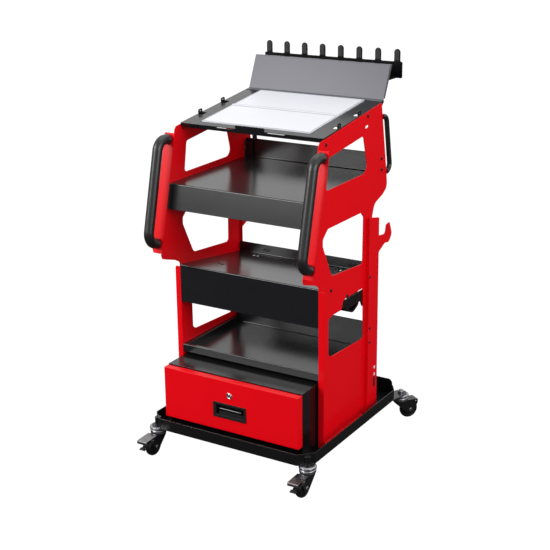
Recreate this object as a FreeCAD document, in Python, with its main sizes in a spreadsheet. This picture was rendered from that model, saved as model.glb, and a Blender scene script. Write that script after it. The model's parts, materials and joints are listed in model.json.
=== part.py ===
import FreeCAD, Part
import math
import os
import re

# A mobile workshop trolley: two folded side panels on a castered base, three shelves, a drawer
# cabinet, a sloping display tray with a back board and a hook comb, and a push handle each side.
# X runs across the trolley, -Y is the drawer front, +Z is up and the floor is Z = 0.

os.makedirs("parts", exist_ok=True)
doc = FreeCAD.newDocument("workshop_trolley")

# Driving dimensions in millimetres and degrees. A name ending in Y is a distance behind the
# panel front plane, and one ending in Z is a height above the floor.
DRIVING = {
    "panelFront": -171.3,
    "sheetWall": 2,
    "thinWall": 1.5,
    "shelfHalf": 240,
    "panelOuter": 242,
    "flangeReach": 276,
    "footReach": 256,
    "panFloorZ": 91,
    "panTopZ": 124,
    "panHalf": 282,
    "panFrontY": -132,
    "panRearY": 456,
    "panCorner": 38,
    "cabinetHalf": 235,
    "cabinetFrontY": -83,
    "cabinetRearY": 296,
    "cabinetTopZ": 291,
    "drawerFrontY": -107.5,
    "drawerFrontDepth": 23.6,
    "drawerBottomZ": 127,
    "drawerTopZ": 287.6,
    "boxHalf": 220,
    "boxBottomZ": 140,
    "boxTopZ": 252,
    "boxRearY": 270,
    "slideZ": 196,
    "lockZ": 243.7,
    "lockRadius": 9.5,
    "pullHalf": 57.5,
    "pullBottomZ": 168,
    "pullTopZ": 216,
    "trayFloorZ": 306,
    "trayRimZ": 325,
    "trayRearZ": 390,
    "shelfRearY": 330,
    "upperRearY": 380,
    "middleFrontZ": 583,
    "middleApronZ": 465,
    "middleSlope": 7.7,
    "upperShelfZ": 843.5,
    "upperApronZ": 770,
    "upperRearZ": 903,
    "topTilt": 7.2,
    "topFrontY": 27,
    "topFrontZ": 1012.5,
    "topDepth": 376.5,
    "topHalf": 240,
    "boardHalf": 237,
    "boardBottomY": 398,
    "boardBottomZ": 1060.9,
    "boardLean": 23.7,
    "boardHeight": 108,
    "combY": 510,
    "combBottomZ": 1110,
    "combTopZ": 1160,
    "combHalf": 244,
    "fingerPitch": 64.75,
    "fingerWidth": 20,
    "fingerTopZ": 1198,
    "gripRadius": 15,
    "tubeRadius": 10,
    "handleX": 259,
    "wheelRadius": 31,
    "casterTrail": 30,
    "frontCasterX": 266,
    "frontCasterY": -108,
    "rearCasterX": 277,
    "rearCasterY": 481,
    "rearTurn": 146.3,
    "boltHead": 5.5,
}

sheet = doc.addObject("Spreadsheet::Sheet", "Sizes")
for row, (alias, value) in enumerate(DRIVING.items(), start=1):
    sheet.set("A%d" % row, alias)
    sheet.set("B%d" % row, str(value))
    sheet.setAlias("B%d" % row, alias)
doc.recompute()

UP = FreeCAD.Vector(0, 0, 1)
NODES = []


def size(alias):
    """Value of one driving dimension."""
    return float(sheet.get(alias))


def back(distance):
    """Row Y of a point that lies this far behind the panel front plane."""
    return size("panelFront") + distance


def bind(thing, prop, rule):
    """Ties a property to a rule written with the names of the driving dimensions."""
    linked = re.sub(r"\b[A-Za-z]\w*\b(?!\()", lambda word: "Sizes." + word.group(0), str(rule))
    thing.setExpression(prop, linked)


def place(thing, x="0", y="0", z="0"):
    """Ties the position of a piece to three rules."""
    bind(thing, "Placement.Base.x", x)
    bind(thing, "Placement.Base.y", y)
    bind(thing, "Placement.Base.z", z)


def node(thing, label):
    """Marks an object as a finished sub-part under the name of its file."""
    thing.Label = label
    NODES.append(thing)
    return thing


def block(name, x_low, x_high, y_low, y_high, z_low, z_high):
    """A box between six rules."""
    solid = doc.addObject("Part::Box", name)
    bind(solid, "Length", "(%s) - (%s)" % (x_high, x_low))
    bind(solid, "Width", "(%s) - (%s)" % (y_high, y_low))
    bind(solid, "Height", "(%s) - (%s)" % (z_high, z_low))
    place(solid, x_low, y_low, z_low)
    return solid


def rod(name, radius, length, x, y, z, axis=UP):
    """A cylinder that starts at a point and runs along an axis."""
    solid = doc.addObject("Part::Cylinder", name)
    solid.Placement = FreeCAD.Placement(FreeCAD.Vector(), FreeCAD.Rotation(UP, FreeCAD.Vector(*axis)))
    bind(solid, "Radius", radius)
    bind(solid, "Height", length)
    place(solid, x, y, z)
    return solid


def fuse(name, pieces):
    """One solid from several that meet."""
    joined = doc.addObject("Part::MultiFuse", name)
    joined.Shapes = pieces
    joined.Refine = True
    return joined


def cut(name, base, tool):
    """A solid less its tool."""
    rest = doc.addObject("Part::Cut", name)
    rest.Base = base
    rest.Tool = tool
    rest.Refine = True
    return rest


def group(name, pieces):
    """Separate identical solids that share one node."""
    together = doc.addObject("Part::Compound", name)
    together.Links = pieces
    return together


def rounded(corners):
    """Edges of a closed outline through corners (across, up, radius)."""
    points = [FreeCAD.Vector(corner[0], corner[1], 0) for corner in corners]
    radii = [corner[2] if len(corner) > 2 else 0 for corner in corners]
    starts, ends, arcs = [], [], []
    for index, corner in enumerate(points):
        before = (points[index - 1] - corner).normalize()
        after = (points[(index + 1) % len(points)] - corner).normalize()
        if radii[index] == 0:
            starts.append(corner)
            ends.append(corner)
            arcs.append(None)
            continue
        half = before.getAngle(after) / 2
        reach = radii[index] / math.tan(half)
        centre = corner + (before + after).normalize() * (radii[index] / math.sin(half))
        start = corner + before * reach
        end = corner + after * reach
        middle = centre + (corner - centre).normalize() * radii[index]
        starts.append(start)
        ends.append(end)
        arcs.append(Part.Arc(start, middle, end))
    edges = []
    for index in range(len(points)):
        if arcs[index] is not None:
            edges.append(arcs[index])
        following = (index + 1) % len(points)
        if (starts[following] - ends[index]).Length > 1e-6:
            edges.append(Part.LineSegment(ends[index], starts[following]))
    return edges


def strip(points, wall):
    """Closed outline of a folded sheet: the line of its outside and a parallel one inside it."""
    line = [FreeCAD.Vector(point[0], point[1], 0) for point in points]
    inner = []
    for index, point in enumerate(line):
        sides = []
        if index > 0:
            sides.append((point - line[index - 1]).normalize())
        if index < len(line) - 1:
            sides.append((line[index + 1] - point).normalize())
        normals = [FreeCAD.Vector(-side.y, side.x, 0) for side in sides]
        total = normals[0] + normals[-1]
        offset = total.normalize() * (wall / max(0.2, total.normalize().dot(normals[0])))
        inner.append(point + offset)
    radii = [point[2] if len(point) > 2 else 0 for point in points]
    outline = [(point.x, point.y, radius) for point, radius in zip(line, radii)]
    turned = list(zip(inner, radii))[::-1]
    outline += [(point.x, point.y, max(0.3, radius - wall) if radius else 0) for point, radius in turned]
    return outline


def new_body(name):
    return doc.addObject("PartDesign::Body", name)


def new_sketch(body, role, outlines, rounds=(), offset="0"):
    """A sketch on one of the body's origin planes, with closed outlines and circles."""
    sketch = body.newObject("Sketcher::SketchObject", "outline")
    plane = [item for item in body.Origin.OriginFeatures if item.Role == role][0]
    sketch.AttachmentSupport = (plane, [""])
    sketch.MapMode = "FlatFace"
    bind(sketch, "AttachmentOffset.Base.z", offset)
    for corners in outlines:
        sketch.addGeometry(rounded(corners), False)
    for across, up, radius in rounds:
        circle = Part.Circle(FreeCAD.Vector(across, up, 0), UP, radius)
        sketch.addGeometry(circle, False)
    return sketch


def pad(body, sketch, length):
    """Thickness added to a sketch along its plane's normal."""
    feature = body.newObject("PartDesign::Pad", "pad")
    feature.Profile = sketch
    bind(feature, "Length", length)
    return feature


def pocket(body, sketch, length, reverse=False):
    """Material taken out of a body behind a sketch."""
    feature = body.newObject("PartDesign::Pocket", "pocket")
    feature.Profile = sketch
    feature.Reversed = reverse
    bind(feature, "Length", length)
    return feature


def padded(name, role, outlines, length, offset="0", rounds=()):
    """A body of one padded sketch."""
    body = new_body(name)
    pad(body, new_sketch(body, role, outlines, rounds, offset), length)
    return body


def turned(name, profile, along="H_Axis", role="XY_Plane"):
    """A body revolved about an axis of its sketch from a closed profile."""
    body = new_body(name)
    sketch = new_sketch(body, role, [profile])
    feature = body.newObject("PartDesign::Revolution", "revolution")
    feature.Profile = sketch
    feature.ReferenceAxis = (sketch, [along])
    feature.Angle = 360
    return body


def bent_tube(name, route, radii, radius, bore=0):
    """A round tube along straight runs joined by tangent arcs."""
    points = [FreeCAD.Vector(*point) for point in route]
    edges = []
    last = points[0]
    for index in range(1, len(points) - 1):
        corner = points[index]
        before = (points[index - 1] - corner).normalize()
        after = (points[index + 1] - corner).normalize()
        half = before.getAngle(after) / 2
        reach = radii[index - 1] / math.tan(half)
        centre = corner + (before + after).normalize() * (radii[index - 1] / math.sin(half))
        middle = centre + (corner - centre).normalize() * radii[index - 1]
        edges.append(Part.LineSegment(last, corner + before * reach).toShape())
        edges.append(Part.Arc(corner + before * reach, middle, corner + after * reach).toShape())
        last = corner + after * reach
    edges.append(Part.LineSegment(last, points[-1]).toShape())
    path = Part.Wire(edges)
    heading = (points[1] - points[0]).normalize()
    outer = Part.Wire(Part.makeCircle(radius, points[0], heading))
    solid = path.makePipeShell([outer], True, False)
    if bore:
        inner = Part.Wire(Part.makeCircle(bore, points[0], heading))
        solid = solid.cut(path.makePipeShell([inner], True, False))
    tube = doc.addObject("Part::Feature", name)
    tube.Shape = solid
    return tube


# Base frame.
def inset(points, distance):
    """Convex outline moved inwards, given anticlockwise, with its corner radii reduced."""
    moved = []
    for index, point in enumerate(points):
        before, after = points[index - 1], points[(index + 1) % len(points)]
        lines = []
        for start, end in ((before, point), (point, after)):
            run = (end[0] - start[0], end[1] - start[1])
            length = math.hypot(run[0], run[1])
            normal = (-run[1] / length, run[0] / length)
            lines.append((normal, normal[0] * point[0] + normal[1] * point[1] + distance))
        (one, first), (two, second) = lines
        spread = one[0] * two[1] - one[1] * two[0]
        moved.append((
            (first * two[1] - second * one[1]) / spread, (one[0] * second - two[0] * first) / spread,
            point[2] - distance,
        ))
    return moved


def base_frame():
    """Open tray with raised lips, chamfered corners, rear ears and front stem sockets."""
    floor, top = size("panFloorZ"), size("panTopZ")
    front, rear = back(size("panFrontY")), back(size("panRearY"))
    half, corner, wall = size("panHalf"), size("panCorner"), size("sheetWall")
    rim = [
        (corner - half, front, 12), (half - corner, front, 12), (half, front + corner, 12),
        (half, rear - 34, 12), (half - 22, rear, 10), (22 - half, rear, 10), (-half, rear - 34, 12),
        (-half, front + corner, 12),
    ]
    pieces = [
        padded("pan_floor", "XY_Plane", [rim], "sheetWall", "panFloorZ - sheetWall"),
        padded("pan_lips", "XY_Plane", [rim, inset(rim, wall)], "panTopZ - panFloorZ + 1", "panFloorZ - 1"),
    ]
    # The rear lip rises higher than the others and has rounded shoulders.
    reach = half - 24
    rear_lip = [(-reach, top - 2), (reach, top - 2), (reach, top + 19, 15), (-reach, top + 19, 15)]
    pieces.append(padded("rear_lip", "XZ_Plane", [rear_lip], "sheetWall", "0 - (panelFront + panRearY)"))
    # Low ears carry the rear stems behind the chamfered corners.
    stem_x, stem_y = size("rearCasterX"), back(size("rearCasterY"))
    for side in (-1, 1):
        ear = [
            (side * (half - 50), rear - 6), (side * (half - 4), rear - 62), (side * (stem_x + 19), stem_y - 16, 12),
            (side * (stem_x + 19), stem_y + 19, 18), (side * (stem_x - 19), stem_y + 19, 18),
            (side * (stem_x - 26), rear + 1, 8),
        ]
        pieces.append(padded("rear_ear", "XY_Plane", [ear[::side]], "sheetWall + 1", "panFloorZ - sheetWall"))
    bores = []
    for x_rule, y_rule in caster_places()[:2]:
        pieces.append(rod("front_ear", "19", "sheetWall", x_rule, y_rule, "panFloorZ - sheetWall"))
        pieces.append(rod("socket", "9.5", "27", x_rule, y_rule, "panFloorZ - sheetWall"))
        bores.append(rod("socket_bore", "6.4", "26", x_rule, y_rule, "panFloorZ - 5"))
    for x_rule, y_rule in caster_places()[2:]:
        bores.append(rod("ear_bore", "6.4", "20", x_rule, y_rule, "panFloorZ - 10"))
    solid = fuse("base_joined", pieces)
    node(cut("base_cut", solid, fuse("stem_bores", bores)), "base_frame")


def caster_places():
    return [
        ("0 - frontCasterX", "panelFront + frontCasterY"), ("frontCasterX", "panelFront + frontCasterY"),
        ("0 - rearCasterX", "panelFront + rearCasterY"), ("rearCasterX", "panelFront + rearCasterY"),
    ]


# Casters.
CASTERS = [
    ("front_left", "0 - frontCasterX", "frontCasterY", "0", True),
    ("front_right", "frontCasterX", "frontCasterY", "0", True),
    ("rear_left", "0 - rearCasterX", "rearCasterY", "0 - rearTurn", False),
    ("rear_right", "rearCasterX", "rearCasterY", "rearTurn", False),
]


def angle_of(turn):
    return (-1 if turn.startswith("0 -") else 1) * (size("rearTurn") if "rearTurn" in turn else 0)


def stand_caster(piece, x_rule, y_alias, turn, ahead=0.0, height="0"):
    """Puts a caster piece at its swivel axis, turned, with an offset along its trail."""
    rotation = FreeCAD.Rotation(UP, angle_of(turn))
    piece.Placement = FreeCAD.Placement(FreeCAD.Vector(), rotation)
    place(
        piece, "%s + %s * sin((%s) * 1deg)" % (x_rule, ahead, turn),
        "panelFront + %s - %s * cos((%s) * 1deg)" % (y_alias, ahead, turn), height,
    )


def caster_fork(tag):
    """Hooded fork: two arms and a top plate over the wheel, with a bored neck."""
    trail = size("casterTrail")
    arms = [
        (20, 66, 3), (18, 56, 12), (-trail + 13, 22, 8), (-trail + 2, 19, 8), (-trail - 12, 24, 8),
        (-trail - 27, 52, 6), (-trail - 27, 66, 5),
    ]
    body = new_body("fork_" + tag)
    pad(body, new_sketch(body, "YZ_Plane", [arms], offset="0 - 15.5"), "31")
    inside = [(40, 63.6), (40, 5), (-90, 5), (-90, 63.6)]
    pocket(body, new_sketch(body, "YZ_Plane", [inside], offset="12.6"), "25.2")
    bore = new_sketch(body, "XY_Plane", [], rounds=[(0, 0, 6.05)], offset="80")
    race = new_sketch(body, "XY_Plane", [], rounds=[(0, 0, 23)], offset="63.6")
    pad(body, race, "2.4")
    pocket(body, bore, "60")
    pin_holes = [(-trail, size("wheelRadius"), 4), (-trail - 20, 59, 2.06)]
    pocket(body, new_sketch(body, "YZ_Plane", [], rounds=pin_holes, offset="20"), "40")
    return body


def casters():
    stems = []
    for tag, x_rule, y_alias, turn, braked in CASTERS:
        fork = caster_fork(tag)
        race = turned("race_" + tag, [
            (6.05, 66), (23, 66), (25, 68, 1.5), (25, 76, 3), (21, 79.7, 1), (6.05, 79.7),
        ], "V_Axis", "XZ_Plane")
        stem_top = [(6.4, 109, 1), (0, 109)] if braked else [
            (6.4, 92), (10, 92), (10, 99, 1), (6, 99), (6, 103, 1), (0, 103),
        ]
        cap_ring = turned("washer_" + tag, [
            (0, 62.0), (9, 62.0, 0.6), (9, 63.3, 0.4), (6, 63.3), (6, 80), (25, 80), (26.5, 81.5, 1),
            (26.5, 86, 2), (22, 89), (6.4, 89),
        ] + stem_top, "V_Axis", "XZ_Plane")
        tyre = turned("tyre_" + tag, [
            (-10, 22), (10, 22), (10, 27.5, 2), (6.5, 31, 4), (-6.5, 31, 4), (-10, 27.5, 2),
        ])
        hub = turned("hub_" + tag, [
            (-12, 4.05), (12, 4.05), (12, 9, 1), (10.6, 20, 4), (9, 22), (-9, 22), (-10.6, 20, 4),
            (-12, 9, 1),
        ])
        axle = turned("axle_" + tag, [
            (-17.6, 0), (17.6, 0), (17.6, 5.5, 1), (15.6, 6.5), (15.6, 4), (-15.6, 4), (-15.6, 6.5),
            (-17.6, 5.5, 1),
        ])
        for piece, label in ((fork, "fork"), (race, "swivel_race")):
            stand_caster(piece, x_rule, y_alias, turn)
            node(piece, "%s_%s" % (label, tag))
        stand_caster(cap_ring, x_rule, y_alias, turn)
        stems.append(cap_ring)
        for piece, label in ((tyre, "tyre"), (hub, "wheel_hub"), (axle, "axle")):
            stand_caster(piece, x_rule, y_alias, turn, "casterTrail", "wheelRadius")
            node(piece, "%s_%s" % (label, tag))
        if braked:
            pedal = brake_pedal(tag)
            stand_caster(pedal, x_rule, y_alias, turn)
            node(pedal, "brake_pedal_%s" % tag)
    node(group("stems", stems), "caster_stems")


def brake_pedal(tag):
    """Toe pedal over the hood: top plate, two ears on the pivot pin and a release lever."""
    trail = size("casterTrail")
    body = new_body("pedal_" + tag)
    top = [
        (-trail + 2, 67.2), (-trail + 2, 69.4), (-trail - 26, 70.6, 10), (-trail - 56, 64.6, 1),
        (-trail - 56.6, 58.5, 1), (-trail - 54.8, 58.5), (-trail - 54, 62.4, 1), (-trail - 26, 68.3, 10),
    ]
    pad(body, new_sketch(body, "YZ_Plane", [top], offset="0 - 19"), "38")
    ears = [
        (-trail - 10, 69), (-trail - 14, 55, 3), (-trail - 24, 50, 5), (-trail - 34, 51, 3),
        (-trail - 30, 69),
    ]
    for start in ("0 - 17.7", "16"):
        pad(body, new_sketch(body, "YZ_Plane", [ears], offset=start), "1.7")
    lever = [
        (-trail - 30.5, 54.5), (-trail - 30.5, 51.5), (-trail - 34, 50.6, 3), (-trail - 55, 36.5, 1),
        (-trail - 56.2, 38.2, 1), (-trail - 34, 53.2, 3),
    ]
    pad(body, new_sketch(body, "YZ_Plane", [lever], offset="0 - 17.7"), "35.4")
    pin = new_sketch(body, "YZ_Plane", [], rounds=[(-trail - 20, 59, 2)], offset="0 - 17.7")
    pad(body, pin, "35.4")
    return body


# Side panels and rear posts.
def panel_outlines():
    """Web of a side panel with its three windows, its slot and its bolt holes."""
    web = [
        (back(4.5), 1005), (back(376), 1056, 4), (back(379), 1052, 3), (back(418), 837, 30),
        (back(424), 790, 24), (back(392), 772, 30), (back(340), 756, 30), (back(326), 720, 20),
        (back(326), size("panFloorZ")), (back(0), size("panFloorZ")), (back(0), 590, 10),
        (back(-22), 602, 20), (back(-86), 622, 12), (back(-91), 634, 8), (back(-84), 660, 12),
        (back(-11), 956, 30), (back(-3), 996, 10),
    ]
    window_a = [
        (back(54), 953, 10), (back(39), 861, 10), (back(294), 863, 24), (back(262), 977, 10),
    ]
    window_b = [
        (back(51), 749, 16), (back(22), 725, 12), (back(22), 704, 12), (back(73), 603, 20),
        (back(266), 586, 12), (back(269), 732, 12), (back(252), 748, 8),
    ]
    window_c = [
        (back(56), 474, 10), (back(57), 362, 12), (back(74), 354, 12), (back(275), 344, 10),
        (back(271), 508, 8), (back(146), 508, 14), (back(134), 480, 6), (back(83), 481, 10),
    ]
    slot = [
        (back(274), 995, 3.5), (back(294), 998, 3.5), (back(294), 1006, 3.5), (back(274), 1003, 3.5),
    ]
    holes = [(back(across), up, 3.2) for across, up in PANEL_BOLTS]
    return [web, window_a, window_b, window_c, slot], holes


PANEL_BOLTS = [(38, 993), (289, 1031), (382, 887), (383.5, 852), (70, 560), (169, 514)]
FOOT_BOLTS = [(22, 250.5), (272, 250.5)]
POST_BOLTS = [(294, 538), (297, 371), (297, 325)]


def side_panel(side, tag):
    outlines, holes = panel_outlines()
    body = new_body("panel_" + tag)
    inner = "shelfHalf" if side > 0 else "0 - panelOuter"
    pad(body, new_sketch(body, "YZ_Plane", outlines, holes, inner), "sheetWall")
    # The handle flange is folded outward along the sloping front edge, the lower one at the front.
    wall = size("sheetWall")
    slope = [
        (back(-5), 986), (back(-11), 956, 30), (back(-84), 660, 12), (back(-89.6), 639.2),
    ]
    upright = [(back(0), 576), (back(0), size("panFloorZ"))]
    for line, reach in ((slope, "flangeReach"), (upright, "258")):
        start = "shelfHalf" if side > 0 else "0 - %s" % reach
        fold = new_sketch(body, "YZ_Plane", [strip(line, wall)], offset=start)
        pad(body, fold, "%s - shelfHalf" % reach)
    foot_start = "shelfHalf" if side > 0 else "0 - footReach"
    foot = [
        (back(0.4), size("panFloorZ")), (back(350), size("panFloorZ")),
        (back(350), size("panFloorZ") + wall), (back(0.4), size("panFloorZ") + wall),
    ]
    pad(body, new_sketch(body, "YZ_Plane", [foot], offset=foot_start), "footReach - shelfHalf")
    # The free corners of the folds are rounded.
    reach = size("flangeReach")
    for corner, up, radius, outer in (
        ("top", 1000, 26, reach), ("bottom", 630, 26, reach), ("low", 580, 12, 258),
    ):
        down = -1 if corner == "bottom" else 1
        trim = [
            (side * (outer + 1), up + down * 3), (side * (outer - radius), up + down * 3),
            (side * (outer - radius), up - down * 0.5), (side * outer, up - down * 0.5, radius - 1),
            (side * outer, up - down * radius), (side * (outer + 1), up - down * radius),
        ]
        cutter = new_sketch(body, "XZ_Plane", [trim], offset="0 - panelFront - 60")
        taken = pocket(body, cutter, "170", reverse=True)
        taken.Midplane = False
    bolt_sketch = new_sketch(
        body, "XY_Plane", [], [(side * across, back(along), 3.2) for along, across in FOOT_BOLTS],
        offset="panFloorZ + 20",
    )
    pocket(body, bolt_sketch, "40")
    node(body, "side_panel_" + tag)


def rear_post(side, tag):
    """Channel over the panel's rear edge, with a cable hook cut from its web."""
    base = size("panFloorZ") + size("sheetWall")
    web = [
        (back(288), base), (back(288), 726, 4), (back(352), 712, 6), (back(352), 654, 6),
        (back(393), 650, 10), (back(401), 677, 5), (back(424), 680, 6), (back(441), 640, 16),
        (back(420), 614, 20), (back(396), 622, 30), (back(352), 602, 8), (back(352), base),
    ]
    slot = [(back(330), 168, 2.9), (back(336), 168, 2.9), (back(336), 194, 2.9), (back(330), 194, 2.9)]
    holes = [(back(333), 229, 5), (back(333), 206, 5)]
    holes += [(back(along), up, 3.2) for along, up in POST_BOLTS]
    body = new_body("post_" + tag)
    web_start = "251" if side > 0 else "0 - 253"
    pad(body, new_sketch(body, "YZ_Plane", [web, slot], holes, web_start), "sheetWall")
    leg_start = "panelOuter" if side > 0 else "0 - 251.5"
    for low, high, top in ((288, 290, 722), (350, 352, 670)):
        leg = [(back(low), base), (back(high), base), (back(high), top), (back(low), top)]
        pad(body, new_sketch(body, "YZ_Plane", [leg], offset=leg_start), "251.5 - panelOuter")
    node(body, "rear_post_" + tag)


def bolt(name, x, y, z, axis, shank, radius="boltHead"):
    """Low round-head bolt whose shank runs back along the axis."""
    away = FreeCAD.Vector(*axis)
    head = rod(name + "_head", radius, "2.6", x, y, z, axis)
    rules = ["%s - %g" % (rule, shank * part) for rule, part in zip((x, y, z), (away.x, away.y, away.z))]
    shaft = rod(name + "_shank", "3", shank, rules[0], rules[1], rules[2], axis)
    return fuse(name, [head, shaft])


def panel_bolts():
    bolts, feet = [], []
    for side in (-1, 1):
        face = "panelOuter" if side > 0 else "0 - panelOuter"
        outer = "253" if side > 0 else "0 - 253"
        for along, up in PANEL_BOLTS:
            spot = ("panelFront + %g" % along, "%g" % up)
            bolts.append(bolt("panel_bolt", face, spot[0], spot[1], (side, 0, 0), 2))
        for along, across in FOOT_BOLTS:
            spot = ("%g" % (side * across), "panelFront + %g" % along)
            feet.append(bolt("foot_bolt", spot[0], spot[1], "panFloorZ + 2", (0, 0, 1), 2))
        for along, up in POST_BOLTS:
            spot = ("panelFront + %g" % along, "%g" % up)
            feet.append(bolt("post_bolt", outer, spot[0], spot[1], (side, 0, 0), 2, "4.4"))
    node(group("panel_bolt_group", bolts), "panel_bolts")
    node(group("frame_bolt_group", feet), "frame_bolts")


# Handles.
def push_handle(side, tag):
    """Bent tube in a soft grip, standing out in front of the sloping flange."""
    x = side * size("handleX")
    top = (x, back(-9.4), 967.851)
    low = (x, back(-82.6), 668.1)
    route = [top, (x, back(-58), 972), (x, back(-130), 676), low]
    core = bent_tube("core_" + tag, route, [34, 34], size("tubeRadius"))
    node(core, "handle_core_" + tag)
    inset = 3.5
    start = (x, back(-11) - inset, 968 + inset * 4 / 47)
    end = (x, back(-82) - inset, 668 + inset * 8 / 48)
    grip_route = [start, route[1], route[2], end]
    grip = bent_tube("grip_" + tag, grip_route, [34, 34], size("gripRadius"), size("tubeRadius"))
    node(grip, "handle_grip_" + tag)


def rear_handle(side, tag):
    """Small pull handle fixed to the rear edge of the side panel."""
    x = side * (size("panelOuter") - 1)
    route = [
        (x, back(386.6), 1012), (x, back(411), 1016), (x, back(442), 843), (x, back(417.4), 839),
    ]
    bar = bent_tube("rear_bar_" + tag, route, [22, 22], 7.5)
    node(bar, "rear_handle_" + tag)


# Shelves.
def upper_shelf():
    """Flat shelf with a sloping front apron, side folds and a tall rear wall."""
    body = new_body("upper_shelf_body")
    level, rear = size("upperShelfZ"), back(size("upperRearY"))
    line = [
        (back(-55), size("upperApronZ")), (back(-38.4), level, 3), (rear, level, 3),
        (rear, size("upperRearZ")),
    ]
    profile = strip(line[::-1], size("sheetWall"))
    pad(body, new_sketch(body, "YZ_Plane", [profile], offset="0 - shelfHalf"), "2 * shelfHalf")
    for start in ("0 - shelfHalf", "shelfHalf - thinWall"):
        cheek = [
            (rear - 12, level - 1), (rear - 1, level - 1), (rear - 1, level + 52), (rear - 12, level + 52, 4),
        ]
        pad(body, new_sketch(body, "YZ_Plane", [cheek], offset=start), "thinWall")
        skirt = [
            (back(-45), level - 32), (back(-39.4), level - 1.5), (rear - 1, level - 1.5),
            (rear - 1, level - 22),
        ]
        pad(body, new_sketch(body, "YZ_Plane", [skirt], offset=start), "thinWall")
    for side in (-1, 1):
        tab = [
            (side * 240, level - 1), (side * 214, level - 1), (side * 214, level + 52, 3),
            (side * 240, level + 52),
        ]
        pad(body, new_sketch(body, "XZ_Plane", [tab], offset="0 - (panelFront + upperRearY - 5)"), "2")
    node(body, "upper_shelf")


def middle_shelf():
    """Shelf that falls towards the back, behind a deep front apron."""
    body = new_body("middle_shelf_body")
    drop = math.tan(math.radians(size("middleSlope")))
    top = size("middleFrontZ")
    rear = size("shelfRearY")
    line = [
        (back(0), size("middleApronZ")), (back(0), top, 3), (back(rear), top - rear * drop, 3),
        (back(rear), top - rear * drop + 33),
    ]
    profile = strip(line[::-1], size("sheetWall"))
    pad(body, new_sketch(body, "YZ_Plane", [profile], offset="0 - shelfHalf"), "2 * shelfHalf")
    for start in ("0 - shelfHalf", "shelfHalf - thinWall"):
        skirt = [
            (back(1.5), top - 2), (back(1.5), top - 34), (back(60), top - 34), (back(180), top - 78),
            (back(rear), top - rear * drop - 20), (back(rear), top - rear * drop - 1),
        ]
        pad(body, new_sketch(body, "YZ_Plane", [skirt], offset=start), "thinWall")
    # Pairs of short slots take the feet of a tool case.
    pairs = []
    for across in (-157, 157):
        for along in (95, 297):
            for step in (-7, 7):
                middle = across + step
                pairs.append([
                    (middle - 4, back(along) - 10, 3), (middle + 4, back(along) - 10, 3),
                    (middle + 4, back(along) + 10, 3), (middle - 4, back(along) + 10, 3),
                ])
    slots = new_sketch(body, "XY_Plane", pairs, offset="middleFrontZ + 10")
    pocket(body, slots, "100")
    node(body, "middle_shelf")


def lower_tray():
    """Shallow tray with a doubled rim and a high rear wall."""
    body = new_body("lower_tray_body")
    floor = size("trayFloorZ")
    rim = size("trayRimZ")
    line = [
        (back(0), floor - 4), (back(0), rim, 2), (back(13), rim, 2), (back(13), floor, 3),
        (back(300), floor, 3), (back(300), size("trayRearZ")),
    ]
    profile = strip(line[::-1], size("thinWall"))
    pad(body, new_sketch(body, "YZ_Plane", [profile], offset="0 - shelfHalf"), "2 * shelfHalf")
    for side in (-1, 1):
        rail_start = "0 - shelfHalf" if side < 0 else "shelfHalf - 13"
        top = [(back(1), rim - 1.5), (back(299), rim - 1.5), (back(299), rim), (back(1), rim)]
        pad(body, new_sketch(body, "YZ_Plane", [top], offset=rail_start), "13")
        for start in (("0 - shelfHalf", "12 - shelfHalf") if side < 0 else ("shelfHalf - 1.5", "shelfHalf - 13")):
            wall = [
                (back(1), floor - 1), (back(299), floor - 1), (back(299), rim - 0.5), (back(1), rim - 0.5),
            ]
            pad(body, new_sketch(body, "YZ_Plane", [wall], offset=start), "1.5")
    node(body, "lower_tray")


# Drawer unit.
def drawer_cabinet():
    """Open-fronted housing of the drawer, with a folded lip round its mouth."""
    shell = block(
        "cabinet_outer", "0 - cabinetHalf", "cabinetHalf", "panelFront + cabinetFrontY",
        "panelFront + cabinetRearY", "panFloorZ", "cabinetTopZ",
    )
    hollow = block(
        "cabinet_inner", "sheetWall - cabinetHalf", "cabinetHalf - sheetWall",
        "panelFront + cabinetFrontY - 5", "panelFront + cabinetRearY - sheetWall",
        "panFloorZ + sheetWall", "cabinetTopZ - sheetWall",
    )
    node(cut("cabinet_shell", shell, hollow), "drawer_cabinet")


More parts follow.
